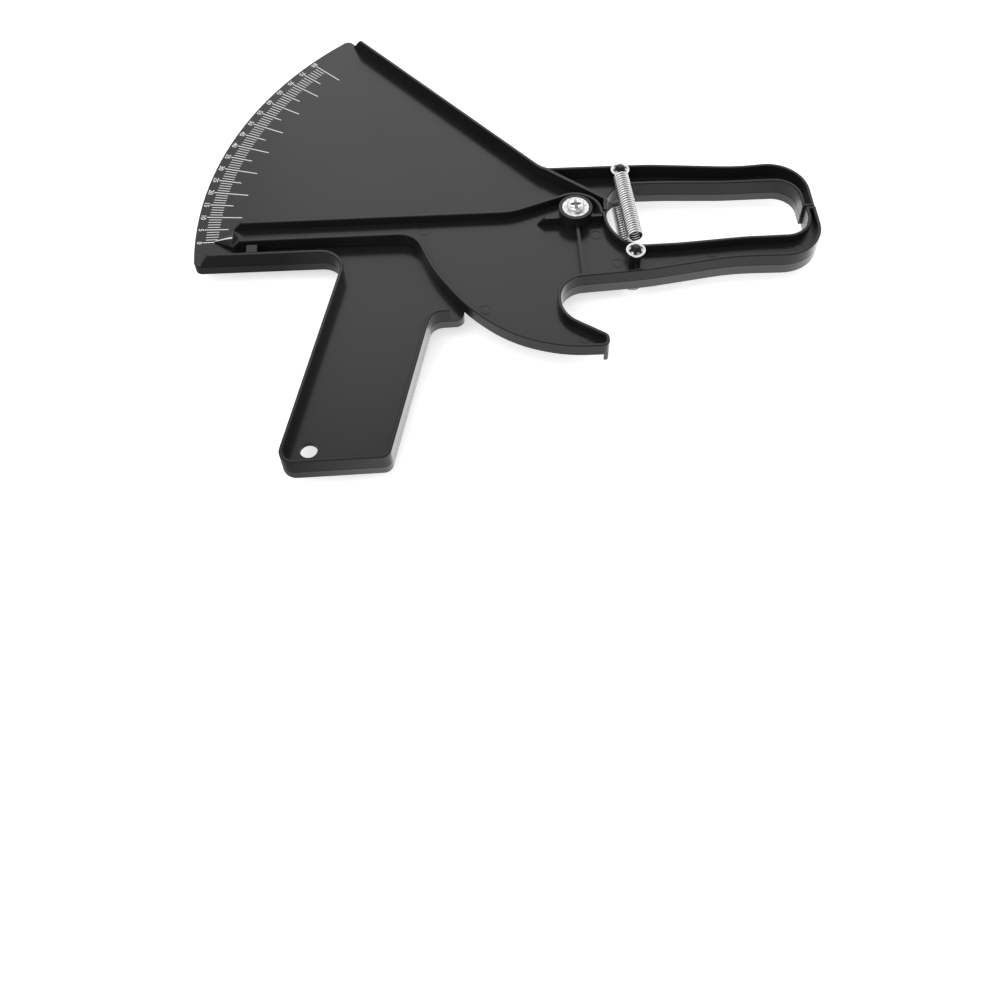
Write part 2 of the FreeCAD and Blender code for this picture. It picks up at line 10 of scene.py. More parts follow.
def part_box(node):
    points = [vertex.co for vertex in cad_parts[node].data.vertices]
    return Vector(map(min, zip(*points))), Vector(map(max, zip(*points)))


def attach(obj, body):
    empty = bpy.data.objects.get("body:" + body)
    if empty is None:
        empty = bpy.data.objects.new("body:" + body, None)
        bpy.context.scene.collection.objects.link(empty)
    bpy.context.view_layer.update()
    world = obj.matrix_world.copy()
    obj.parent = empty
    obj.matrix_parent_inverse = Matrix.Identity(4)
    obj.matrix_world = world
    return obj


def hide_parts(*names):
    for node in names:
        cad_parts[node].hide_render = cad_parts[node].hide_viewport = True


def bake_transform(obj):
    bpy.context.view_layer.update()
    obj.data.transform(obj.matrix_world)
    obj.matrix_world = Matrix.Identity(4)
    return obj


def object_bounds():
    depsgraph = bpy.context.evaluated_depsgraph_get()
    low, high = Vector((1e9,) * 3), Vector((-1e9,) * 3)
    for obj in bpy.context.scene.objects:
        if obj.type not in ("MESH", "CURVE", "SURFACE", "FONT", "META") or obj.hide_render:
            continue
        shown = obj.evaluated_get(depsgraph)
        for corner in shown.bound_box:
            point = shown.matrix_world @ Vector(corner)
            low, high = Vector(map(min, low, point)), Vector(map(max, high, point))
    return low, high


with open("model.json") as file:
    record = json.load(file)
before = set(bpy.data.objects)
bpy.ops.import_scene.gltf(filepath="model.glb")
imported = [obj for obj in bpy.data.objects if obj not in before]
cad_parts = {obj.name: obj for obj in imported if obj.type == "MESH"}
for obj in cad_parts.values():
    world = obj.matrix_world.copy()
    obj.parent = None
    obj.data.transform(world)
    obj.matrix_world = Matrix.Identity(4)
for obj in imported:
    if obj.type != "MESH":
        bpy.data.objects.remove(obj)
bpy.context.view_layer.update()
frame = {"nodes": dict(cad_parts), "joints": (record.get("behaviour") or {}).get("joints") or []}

# Skinfold caliper: two black mouldings hinged on a screw, a printed scale, two close-wound
# springs and four push-on rings. Lengths are in metres. The pivot axis is the Z axis.

MM = 0.001
UP = Vector((0, 0, 1))

# ---- Sizes from the frame ----
HINGE = frame["joints"][0]
SPRING_ENDS = {
    spring["node"]: (Vector(spring["fixed_end_m"]), Vector(spring["moving_end_m"]))
    for spring in HINGE["deforming_nodes"]
}
FULL_SWING = math.radians(HINGE["range_deg"][1])

# ---- Layers of the mouldings ----
FRAME_PARTING = 4.3 * MM       # height of the parting line on the frame
LEVER_PARTING = 5.3 * MM
PARTING_WIDTH = 0.28 * MM
PLATE_FACE = 5.0 * MM          # face of the scale plate

# ---- Scale ----
SCALE_SPAN = 80                # last reading, in millimetres of jaw gap
CHORD_RADIUS = SCALE_SPAN * MM / 2 / math.sin(FULL_SWING / 2)
INK_THICKNESS = 0.03 * MM
INK_SINK = 0.01 * MM
INK_HEIGHT = PLATE_FACE - INK_SINK + INK_THICKNESS / 2
TICK_OUTER = 166.4 * MM        # outer end of the ticks at 5s and 10s
ONES_OUTER = 165.2 * MM
ONES_INNER = 159.6 * MM
FIVES_INNER = 155.7 * MM
TENS_INNER = 150.4 * MM
ONES_WIDTH = 0.37 * MM
FIVES_WIDTH = 0.48 * MM
NUMBER_RADIUS = 168.05 * MM
NUMBER_SIZE = 3.3 * MM
NUMBER_SQUEEZE = 0.93
NUMBER_WEIGHT = 0.045 * MM     # how much the strokes are fattened
NUMBER_STEPS = 3               # in each curve of a stroke
MERGE_WITHIN = 0.001 * MM      # corners of the print that are nearer than this are made one

# ---- Pointer line ----
LINE_POINTS = (                # along the crest, with the width at each
    (Vector((-160.9, -0.25, 0)) * MM, 0.35 * MM),
    (Vector((-156.4, -0.6, 0)) * MM, 0.7 * MM),
    (Vector((-152.7, -0.85, 0)) * MM, 0.95 * MM),
)
LINE_STEPS = 10                # in each of its stretches
LINE_ACROSS = 0.1 * MM         # an edge that goes less far along the line runs across it

# ---- Springs ----
COIL_RADIUS = 3.55 * MM
WIRE_RADIUS = 0.47 * MM
COIL_PITCH = 1.34 * MM
WIRE_SIDES = 12
TURN_STEPS = 24
BEND_STEPS = TURN_STEPS // 4
HOOK_BEND = 1.1 * MM           # radius of the bend from the last turn into the hook
HOOK_LOOP = 2.82 * MM          # middle of the wire round a post pin
HOOK_WRAP = math.radians(285)
BEND_TRIES = 4                 # rounds that settle a bend and its straight wire together
CROWN = "crown"                # attribute: 1 on the outside of the coil, 0 on its inside

# ---- Push-on rings ----
RING_TEETH = 6
RING_STEPS_PER_TOOTH = 8
RING_GAP_STEPS = 4             # of these, the open ones between two teeth
RING_FLAT_INNER = 3.25 * MM
FLAT_RISE = 0.02 * MM
TOOTH_TIP = 2.34 * MM
TOOTH_RISE = 0.5 * MM
TOOTH_BELLY = 0.55             # share of its rise that a tooth has halfway
RING_GAUGE = 0.35 * MM

# ---- Finishes ----
# Grain, patches, rings and specks are scales of noise, per metre. A roughness is a smooth and a
# rough value, and a relief the strength and the distance of a bump.
MIX_FROM, MIX_TO, MIX_COLOUR = 6, 7, 2     # the colour sockets of a Mix node
NOISE_RANGE = (0.3, 0.7)       # what noise mostly stays between
GRAIN_DETAIL = 3.0
PATCH_DETAIL = 4.0

UPRIGHT_LEAN = (0.15, 0.6)     # height of a face's normal where upright sides end
ROUND_START = (0.08, 0.25)     # where rounded edges and ramps start
ROUND_STOP = (0.9, 0.985)      # and where they pass into flats
PLASTIC_GRAIN = 3200.0
PLASTIC_PATCHES = 28.0
PLASTIC_DARK = (0.008, 0.008, 0.0083)
PLASTIC_LIGHT = (0.014, 0.014, 0.0144)
BACK_HALF_TONE = (0.02, 0.02, 0.0205)
LINE_TONE = (0.003, 0.003, 0.003)
PLASTIC_ROUGHNESS = (0.27, 0.42)
LINE_ROUGHNESS = 0.4           # added on the parting line
FLAT_GLOSS = 0.62              # coat of the webs and the rims
FRONT_GLOSS = 0.22             # and of the upright sides, in front of the parting line
BACK_GLOSS = 0.78              # and behind it
SHEEN_RANGE = (0.5, 0.8)       # how far a face turns away while it gets its grazing sheen
COAT_ROUGHNESS = 0.2
COAT_IOR = 1.5
PLASTIC_SPECULAR = 0.15
GRAIN_HEIGHT = 0.12            # against the depth of the parting line
PLASTIC_RELIEF = (0.35, 0.15 * MM)

INK_GRAIN = 4000.0
INK_PATCHES = 300.0
INK_DARK = (0.72, 0.72, 0.72)
INK_LIGHT = (0.86, 0.86, 0.86)
INK_ROUGHNESS = (0.45, 0.65)
INK_RELIEF = (0.2, 0.03 * MM)

METAL_GRAIN = 1800.0
METAL_PATCHES = 160.0
METAL_RELIEF = (0.1, 0.05 * MM)
WIRE_GRAIN = 2600.0
# painted shade on the inner side of each turn of the coil
WIRE_PAINTED_SHADE = (0.08, 0.08, 0.08)
WIRE_BRIGHT = (0.95, 0.95, 0.94)
WIRE_ROUGHNESS = (0.24, 0.36)
PAINTED_SHADE_FADE = (0.5, 0.8)         # where on its way out of the coil the painted shade gives way to bright wire
NICKEL_DARK = (0.84, 0.83, 0.82)
NICKEL_LIGHT = (0.95, 0.94, 0.93)
NICKEL_ROUGHNESS = (0.2, 0.34)
# painted shade in the screw's cross recess
RECESS_PAINTED_SHADE = (0.2, 0.2, 0.2)
RECESS_REACH = 2.8 * MM        # just outside the arms of the screw's cross recess
RECESS_DEPTHS = (0.2 * MM, 0.9 * MM)       # below the top of the head, where the painted shade sets in
ZINC_DARK = (0.5, 0.5, 0.49)
ZINC_LIGHT = (0.68, 0.68, 0.67)
ZINC_ROUGHNESS = (0.28, 0.45)
CLIP_PATCHES = 900.0
CLIP_DARK = (0.5, 0.5, 0.5)
CLIP_LIGHT = (0.8, 0.8, 0.79)
CLIP_ROUGHNESS = (0.2, 0.36)
WASHER_RINGS = 9000.0
WASHER_SPECKS = 1100.0
WASHER_WEAR = (0.35, 0.6)      # of the noise, between the worn specks and the bright face
WASHER_DARK = (0.44, 0.44, 0.44)
WASHER_LIGHT = (0.84, 0.84, 0.83)
WASHER_ROUGHNESS = (0.22, 0.4)
WASHER_RELIEF = (0.25, 0.04 * MM)


# ---- Materials ----
def node_group(name, inputs, outputs):
    """Empty shader node group with its sockets, and its two end nodes."""
    group = bpy.data.node_groups.new(name, "ShaderNodeTree")
    for direction, sockets in (("INPUT", inputs), ("OUTPUT", outputs)):
        for label, kind in sockets:
            group.interface.new_socket(label, in_out=direction, socket_type=kind)
    return group, group.nodes.new("NodeGroupInput"), group.nodes.new("NodeGroupOutput")


def feed(tree, socket, value):
    """Sets a socket to a value, or links another node's output to it."""
    if isinstance(value, bpy.types.NodeSocket):
        tree.links.new(value, socket)
    else:
        socket.default_value = value


def math_node(tree, operation, *values):
    """Math node. Each value is a number or another node's output."""
    node = tree.nodes.new("ShaderNodeMath")
    node.operation = operation
    for socket, value in zip(node.inputs, values):
        feed(tree, socket, value)
    return node.outputs[0]


def spread(tree, value, low, high, to_low, to_high):
    """Maps a value from one range to another, held at the ends."""
    node = tree.nodes.new("ShaderNodeMapRange")
    for socket, setting in zip(node.inputs, (value, low, high, to_low, to_high)):
        feed(tree, socket, setting)
    return node.outputs[0]


def noise(tree, place, scale, detail):
    node = tree.nodes.new("ShaderNodeTexNoise")
    node.inputs["Detail"].default_value = detail
    feed(tree, node.inputs["Scale"], scale)
    feed(tree, node.inputs["Vector"], place)
    return node.outputs["Fac"]


def surface_marks():
    """Fine grain and slow patches that every finish here takes its unevenness from."""
    group, start, end = node_group(
        "surface_marks",
        [("Place", "NodeSocketVector"), ("Grain Scale", "NodeSocketFloat"),
         ("Patch Scale", "NodeSocketFloat")],
        [("Grain", "NodeSocketFloat"), ("Patches", "NodeSocketFloat")],
    )
    grain = noise(group, start.outputs["Place"], start.outputs["Grain Scale"], GRAIN_DETAIL)
    patches = noise(group, start.outputs["Place"], start.outputs["Patch Scale"], PATCH_DETAIL)
    group.links.new(grain, end.inputs["Grain"])
    group.links.new(patches, end.inputs["Patches"])
    return group


def parting_marks():
    """Where a moulding's two mould halves met: the line round its sides, and the back half.

    Also which faces stand upright, and which are rounded edges or ramps.
    """
    group, start, end = node_group(
        "parting_marks",
        [("Place", "NodeSocketVector"), ("Slope", "NodeSocketVector"),
         ("Height", "NodeSocketFloat"), ("Width", "NodeSocketFloat")],
        [("Line", "NodeSocketFloat"), ("Back Half", "NodeSocketFloat"),
         ("Upright", "NodeSocketFloat"), ("Rounded", "NodeSocketFloat")],
    )
    place = group.nodes.new("ShaderNodeSeparateXYZ")
    slope = group.nodes.new("ShaderNodeSeparateXYZ")
    group.links.new(start.outputs["Place"], place.inputs[0])
    group.links.new(start.outputs["Slope"], slope.inputs[0])
    lean = math_node(group, "ABSOLUTE", slope.outputs["Z"])
    upright = spread(group, lean, *UPRIGHT_LEAN, 1.0, 0.0)
    offset = math_node(group, "SUBTRACT", place.outputs["Z"], start.outputs["Height"])
    distance = math_node(group, "ABSOLUTE", offset)
    half_width = math_node(group, "MULTIPLY", start.outputs["Width"], 0.5)
    line = spread(group, distance, 0.0, half_width, 1.0, 0.0)
    line = math_node(group, "MULTIPLY", line, upright)
    below = math_node(group, "LESS_THAN", offset, 0.0)
    group.links.new(line, end.inputs["Line"])
    group.links.new(below, end.inputs["Back Half"])
    group.links.new(upright, end.inputs["Upright"])
    past_upright = spread(group, lean, *ROUND_START, 0.0, 1.0)
    short_of_flat = spread(group, lean, *ROUND_STOP, 1.0, 0.0)
    rounded = math_node(group, "MULTIPLY", past_upright, short_of_flat)
    group.links.new(rounded, end.inputs["Rounded"])
    return group


def new_material(name):
    """Material with only its shader, and the shader and its place on the piece."""
    material = bpy.data.materials.new(name)
    material.use_nodes = True
    tree = material.node_tree
    shader = tree.nodes["Principled BSDF"]
    place = tree.nodes.new("ShaderNodeTexCoord")
    return material, tree, shader, place


def use_group(tree, group, **links):
    node = tree.nodes.new("ShaderNodeGroup")
    node.node_tree = group
    for label, value in links.items():
        feed(tree, node.inputs[label.replace("_", " ")], value)
    return node


def shade_between(tree, mask, low, high, shader=None):
    """Colour that goes from one tone to another with a mask, for the base of a shader if given.

    A tone is three numbers or another node's output.
    """
    mix = tree.nodes.new("ShaderNodeMix")
    mix.data_type = "RGBA"
    tree.links.new(mask, mix.inputs["Factor"])
    for number, tone in ((MIX_FROM, low), (MIX_TO, high)):
        linked = isinstance(tone, bpy.types.NodeSocket)
        feed(tree, mix.inputs[number], tone if linked else (*tone, 1))
    if shader is not None:
        tree.links.new(mix.outputs[MIX_COLOUR], shader.inputs["Base Color"])
    return mix.outputs[MIX_COLOUR]


def raise_surface(tree, height, relief, shader):
    bump = tree.nodes.new("ShaderNodeBump")
    bump.inputs["Strength"].default_value, bump.inputs["Distance"].default_value = relief
    tree.links.new(height, bump.inputs["Height"])
    tree.links.new(bump.outputs[0], shader.inputs["Normal"])


def grain_surface(tree, grain, roughness, relief, shader):
    """Lets the grain set the roughness and raise the surface."""
    rough = spread(tree, grain, *NOISE_RANGE, *roughness)
    tree.links.new(rough, shader.inputs["Roughness"])
    raise_surface(tree, grain, relief, shader)


def black_plastic(name, parting_height):
    """Satin black moulding: fine grain, flow patches, a parting line and a shinier back half."""
    material, tree, shader, place = new_material(name)
    marks = use_group(tree, MARKS, Place=place.outputs["Object"], Grain_Scale=PLASTIC_GRAIN,
                      Patch_Scale=PLASTIC_PATCHES)
    parting = use_group(tree, PARTING, Place=place.outputs["Object"],
                        Slope=place.outputs["Normal"], Height=parting_height,
                        Width=PARTING_WIDTH)
    tone = shade_between(tree, marks.outputs["Patches"], PLASTIC_DARK, PLASTIC_LIGHT)
    back_side = math_node(tree, "MULTIPLY", parting.outputs["Back Half"],
                          parting.outputs["Upright"])
    tone = shade_between(tree, back_side, tone, BACK_HALF_TONE)
    shade_between(tree, parting.outputs["Line"], tone, LINE_TONE, shader)

    rough = spread(tree, marks.outputs["Patches"], *NOISE_RANGE, *PLASTIC_ROUGHNESS)
    line_rough = math_node(tree, "MULTIPLY", parting.outputs["Line"], LINE_ROUGHNESS)
    rough = math_node(tree, "ADD", rough, line_rough)
    tree.links.new(rough, shader.inputs["Roughness"])

    side = spread(tree, parting.outputs["Back Half"], 0.0, 1.0, FRONT_GLOSS, BACK_GLOSS)
    gloss = spread(tree, parting.outputs["Upright"], 0.0, 1.0, FLAT_GLOSS, side)
    facing = tree.nodes.new("ShaderNodeLayerWeight")
    sheen = spread(tree, facing.outputs["Facing"], *SHEEN_RANGE, 0.0, 1.0)
    gloss = math_node(tree, "MAXIMUM", gloss, sheen)
    dull = math_node(tree, "MAXIMUM", parting.outputs["Rounded"], parting.outputs["Line"])
    gloss = math_node(tree, "SUBTRACT", gloss, dull)
    gloss = math_node(tree, "MAXIMUM", gloss, 0.0)
    tree.links.new(gloss, shader.inputs["Coat Weight"])
    shader.inputs["Coat Roughness"].default_value = COAT_ROUGHNESS
    shader.inputs["Coat IOR"].default_value = COAT_IOR
    shader.inputs["Specular IOR Level"].default_value = PLASTIC_SPECULAR

    height = math_node(tree, "MULTIPLY", marks.outputs["Grain"], GRAIN_HEIGHT)
    height = math_node(tree, "SUBTRACT", height, parting.outputs["Line"])
    raise_surface(tree, height, PLASTIC_RELIEF, shader)
    return material


def white_ink(name):
    material, tree, shader, place = new_material(name)
    marks = use_group(tree, MARKS, Place=place.outputs["Object"], Grain_Scale=INK_GRAIN,
                      Patch_Scale=INK_PATCHES)
    shade_between(tree, marks.outputs["Patches"], INK_DARK, INK_LIGHT, shader)
    grain_surface(tree, marks.outputs["Grain"], INK_ROUGHNESS, INK_RELIEF, shader)
    return material


def coil_wire(name):
    """Bright drawn wire, with painted shade where the turns of the coil face each other."""
    material, tree, shader, place = new_material(name)
    marks = use_group(tree, MARKS, Place=place.outputs["Object"], Grain_Scale=WIRE_GRAIN)
    crown = tree.nodes.new("ShaderNodeAttribute")
    crown.attribute_name = CROWN
    # painted shade: the wire darkens towards the inside of the coil, where its turns face each
    # other
    unshaded_side = spread(tree, crown.outputs["Fac"], *PAINTED_SHADE_FADE, 0.0, 1.0)
    shade_between(tree, unshaded_side, WIRE_PAINTED_SHADE, WIRE_BRIGHT, shader)
    shader.inputs["Metallic"].default_value = 1.0
    grain_surface(tree, marks.outputs["Grain"], WIRE_ROUGHNESS, METAL_RELIEF, shader)
    return material


def bright_metal(name, dark, light, roughness, patches):
    """Plated or stamped steel with faint handling marks."""
    material, tree, shader, place = new_material(name)
    marks = use_group(tree, MARKS, Place=place.outputs["Object"], Grain_Scale=METAL_GRAIN,
                      Patch_Scale=patches)
    shade_between(tree, marks.outputs["Patches"], dark, light, shader)
    shader.inputs["Metallic"].default_value = 1.0
    grain_surface(tree, marks.outputs["Grain"], roughness, METAL_RELIEF, shader)
    return material


def pivot_radius(tree, place):
    """Distance from the pivot axis, and height along it."""
    split = tree.nodes.new("ShaderNodeSeparateXYZ")
    tree.links.new(place.outputs["Object"], split.inputs[0])
    across = math_node(tree, "MULTIPLY", split.outputs["X"], split.outputs["X"])
    along = math_node(tree, "MULTIPLY", split.outputs["Y"], split.outputs["Y"])
    radius = math_node(tree, "SQRT", math_node(tree, "ADD", across, along))
    return radius, split.outputs["Z"]


def screw_nickel(name):
    """Bright plating, with painted shade down in the cross recess."""
    material, tree, shader, place = new_material(name)
    marks = use_group(tree, MARKS, Place=place.outputs["Object"], Grain_Scale=METAL_GRAIN,
                      Patch_Scale=METAL_PATCHES)
    radius, height = pivot_radius(tree, place)
    depth = math_node(tree, "SUBTRACT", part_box("pivot_screw")[1].z, height)
    sunk = spread(tree, depth, *RECESS_DEPTHS, 0.0, 1.0)
    inside = math_node(tree, "LESS_THAN", radius, RECESS_REACH)
    plated = shade_between(tree, marks.outputs["Patches"], NICKEL_DARK, NICKEL_LIGHT)
    # painted shade: darker down in the cross recess
    recess = math_node(tree, "MULTIPLY", sunk, inside)
    shade_between(tree, recess, plated, RECESS_PAINTED_SHADE, shader)
    shader.inputs["Metallic"].default_value = 1.0
    grain_surface(tree, marks.outputs["Grain"], NICKEL_ROUGHNESS, METAL_RELIEF, shader)
    return material


def turned_steel(name):
    """Washer face with fine rings about the pivot, and small worn specks."""
    material, tree, shader, place = new_material(name)
    radius, _ = pivot_radius(tree, place)
    line = tree.nodes.new("ShaderNodeCombineXYZ")
    tree.links.new(radius, line.inputs[0])
    rings = use_group(tree, MARKS, Place=line.outputs[0], Grain_Scale=WASHER_RINGS)
    specks = use_group(tree, MARKS, Place=place.outputs["Object"], Patch_Scale=WASHER_SPECKS)
    unworn = spread(tree, specks.outputs["Patches"], *WASHER_WEAR, 0.0, 1.0)
    shade_between(tree, unworn, WASHER_DARK, WASHER_LIGHT, shader)
    shader.inputs["Metallic"].default_value = 1.0
    grain_surface(tree, rings.outputs["Grain"], WASHER_ROUGHNESS, WASHER_RELIEF, shader)
    return material


# ---- Pieces ----
def finished(mesh, name, material, smooth=True):
    """Object at the origin made of a bmesh."""
    data = bpy.data.meshes.new(name)
    mesh.to_mesh(data)
    mesh.free()
    for face in data.polygons:
        face.use_smooth = smooth
    data.materials.append(material)
    piece = bpy.data.objects.new(name, data)
    bpy.context.scene.collection.objects.link(piece)
    return piece


def reading_angle(reading):
    """Swing of the pointer from zero at a reading of the jaw gap."""
    return 2 * math.asin(reading * MM / 2 / CHORD_RADIUS)


def add_tick(mesh, reading):
    if reading % 10 == 0:
        inner, outer, width = TENS_INNER, TICK_OUTER, FIVES_WIDTH
    elif reading % 5 == 0:
        inner, outer, width = FIVES_INNER, TICK_OUTER, FIVES_WIDTH
    else:
        inner, outer, width = ONES_INNER, ONES_OUTER, ONES_WIDTH
    turn = Matrix.Rotation(-reading_angle(reading), 4, "Z")
    middle = Vector((-(inner + outer) / 2, 0, INK_HEIGHT))
    size = Matrix.Diagonal((outer - inner, width, INK_THICKNESS, 1))
    bmesh.ops.create_cube(mesh, size=1, matrix=turn @ Matrix.Translation(middle) @ size)


def add_number(mesh, reading):
    """Number outside its tick, which reads downwards from the far side of the scale."""
    text = bpy.data.curves.new("number", "FONT")
    text.body = str(reading)
    text.size = NUMBER_SIZE
    text.align_x = "CENTER"
    text.align_y = "CENTER"
    text.extrude = INK_THICKNESS / 2
    text.offset = NUMBER_WEIGHT
    text.resolution_u = NUMBER_STEPS
    holder = bpy.data.objects.new("number", text)
    bpy.context.scene.collection.objects.link(holder)
    bpy.context.view_layer.update()
    outline = bpy.data.meshes.new_from_object(holder)
    bpy.data.objects.remove(holder)
    turn = Matrix.Rotation(-reading_angle(reading), 4, "Z")
    middle = Vector((-NUMBER_RADIUS, 0, INK_HEIGHT))
    lay = Matrix.Rotation(math.radians(-90), 4, "Z") @ Matrix.Diagonal((NUMBER_SQUEEZE, 1, 1, 1))
    outline.transform(turn @ Matrix.Translation(middle) @ lay)
    mesh.from_mesh(outline)
    bpy.data.meshes.remove(outline)


def scale_print():
    mesh = bmesh.new()
    for reading in range(SCALE_SPAN + 1):
        add_tick(mesh, reading)
        if reading % 5 == 0:
            add_number(mesh, reading)
    bmesh.ops.remove_doubles(mesh, verts=mesh.verts, dist=MERGE_WITHIN)
    return finished(mesh, "scale_print", white_ink("scale_ink"), smooth=False)


def lay_on(node, mesh, lift):
    """Drops every vertex of a mesh onto the front of a node, and lifts it a little."""
    carrier = bmesh.new()
    carrier.from_mesh(frame["nodes"][node].data)
    surface = BVHTree.FromBMesh(carrier)
    carrier.free()
    for vert in mesh.verts:
        spot = surface.ray_cast(vert.co + UP, -UP)[0]
        vert.co.z = spot.z + lift


def pointer_line():
    """White line painted on the crest of the pointer."""
    mesh = bmesh.new()
    rows = []
    for point, width in LINE_POINTS:
        rows.append([mesh.verts.new(point + Vector((0, side * width, 0)))
                     for side in (-0.5, 0, 0.5)])
    for row in rows:
        for pair in zip(row, row[1:]):
            mesh.edges.new(pair)
    bmesh.ops.bridge_loops(mesh, edges=mesh.edges)
    lengthwise = [edge for edge in mesh.edges
                  if abs(edge.verts[0].co.x - edge.verts[1].co.x) > LINE_ACROSS]
    bmesh.ops.subdivide_edges(mesh, edges=lengthwise, cuts=LINE_STEPS, use_grid_fill=True)
    lay_on("lever", mesh, INK_THICKNESS)
    bmesh.ops.recalc_face_normals(mesh, faces=mesh.faces)
    bmesh.ops.solidify(mesh, geom=mesh.faces[:], thickness=2 * INK_THICKNESS)
    bmesh.ops.recalc_face_normals(mesh, faces=mesh.faces)
    return finished(mesh, "pointer_line", white_ink("pointer_ink"), smooth=False)


class Wire:
    """Round wire that is drawn straight, bent and wound from one end to the other."""

    def __init__(self, start, direction):
        self.mesh = bmesh.new()
        self.place = start.copy()
        self.direction = direction.normalized()
        turn = self.direction.to_track_quat("Z", "Y").to_matrix().to_4x4()
        bmesh.ops.create_circle(self.mesh, segments=WIRE_SIDES, radius=WIRE_RADIUS,
                                matrix=Matrix.Translation(start) @ turn)
        self.end = list(self.mesh.edges)

    def draw_to(self, point):
        grown = bmesh.ops.extrude_edge_only(self.mesh, edges=self.end)["geom"]
        verts = [item for item in grown if isinstance(item, bmesh.types.BMVert)]
        self.end = [item for item in grown if isinstance(item, bmesh.types.BMEdge)]
        bmesh.ops.translate(self.mesh, vec=point - self.place, verts=verts)
        self.place = point.copy()

    def wind(self, centre, axis, angle, steps, advance=Vector()):
        """Turns about an axis, and moves along by the advance over the whole angle."""
        step = advance / steps
        geom = self.end + list({vert for edge in self.end for vert in edge.verts})
        grown = bmesh.ops.spin(self.mesh, geom=geom, cent=centre, axis=axis, dvec=step,
                               angle=angle, steps=steps, use_merge=False)["geom_last"]
        self.end = [item for item in grown if isinstance(item, bmesh.types.BMEdge)]
        turn = Matrix.Rotation(angle, 3, axis)
        self.place = centre + turn @ (self.place - centre) + advance
        self.direction = turn @ self.direction

    def cut_off(self):
        """Closes both ends."""
        bmesh.ops.holes_fill(self.mesh, edges=self.mesh.edges, sides=0)
        bmesh.ops.recalc_face_normals(self.mesh, faces=self.mesh.faces)
        return self.mesh


def touch_point(start, pin):
    """Where a straight wire from a point first touches the hook's loop round a pin."""
    to_pin = pin - start
    distance = to_pin.length
    swing = math.asin(HOOK_LOOP / distance)
    leg = math.sqrt(distance ** 2 - HOOK_LOOP ** 2)
    return start + Matrix.Rotation(swing, 3, UP) @ to_pin.normalized() * leg


def bend_from(place, heading, pin, way):
    """Bend that leads from one end of the coil to the straight wire at a pin.

    The way is 1 where the wire runs on to the pin and -1 where it comes from the pin.
    """
    leave = place
    for _ in range(BEND_TRIES):
        straight = (touch_point(leave, pin) - leave).normalized() * way
        turn_axis = heading.cross(straight).normalized() * way
        centre = place + turn_axis.cross(heading) * HOOK_BEND
        leave = centre - turn_axis.cross(straight) * HOOK_BEND
    return leave, centre, turn_axis, heading.angle(straight)


def extension_spring(name, upper_pin, lower_pin, material):
    """Close-wound coil between two hooks that go round the post pins."""
    top, bottom = SPRING_ENDS[name]
    axis = (bottom - top).normalized()
    side = axis.cross(UP)
    lift = axis.cross(side)
    radius = COIL_RADIUS - WIRE_RADIUS
    lean = math.atan2(HOOK_BEND, radius)
    coil_start = top + axis * WIRE_RADIUS
    coil_travel = bottom - axis * WIRE_RADIUS - coil_start
    first = coil_start - (side * math.cos(lean) + lift * math.sin(lean)) * radius
    first_heading = side * math.sin(lean) - lift * math.cos(lean)

    leave, bend_centre, bend_axis, bend_angle = bend_from(first, first_heading, upper_pin, -1)
    touch = touch_point(leave, upper_pin)
    free_turn = Matrix.Rotation(-HOOK_WRAP, 3, UP)
    free_end = upper_pin + free_turn @ (touch - upper_pin)
    wire = Wire(free_end, free_turn @ (leave - touch))
    wire.wind(upper_pin, UP, HOOK_WRAP, TURN_STEPS)
    wire.draw_to(leave)
    wire.wind(bend_centre, bend_axis, bend_angle, BEND_STEPS)

    whole_turns = round(coil_travel.length / COIL_PITCH)
    angle = 2 * math.pi * whole_turns - math.pi - 2 * lean
    steps = round(angle / (2 * math.pi) * TURN_STEPS)
    wire.wind(coil_start, axis, angle, steps, coil_travel)

    leave, bend_centre, bend_axis, bend_angle = bend_from(wire.place, wire.direction,
                                                          lower_pin, 1)
    wire.wind(bend_centre, bend_axis, bend_angle, BEND_STEPS)
    wire.draw_to(touch_point(leave, lower_pin))
    wire.wind(lower_pin, UP, -HOOK_WRAP, TURN_STEPS)

    mesh = wire.cut_off()
    crown = mesh.verts.layers.float.new(CROWN)
    length = (bottom - top).length
    for vert in mesh.verts:
        from_top = vert.co - top
        along = from_top.dot(axis)
        distance = (from_top - axis * along).length
        in_coil = 0 < along < length
        vert[crown] = (distance - COIL_RADIUS) / (2 * WIRE_RADIUS) + 1 if in_coil else 1
    spring = finished(mesh, name + "_coil", material)
    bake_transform(spring)
    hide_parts(name)


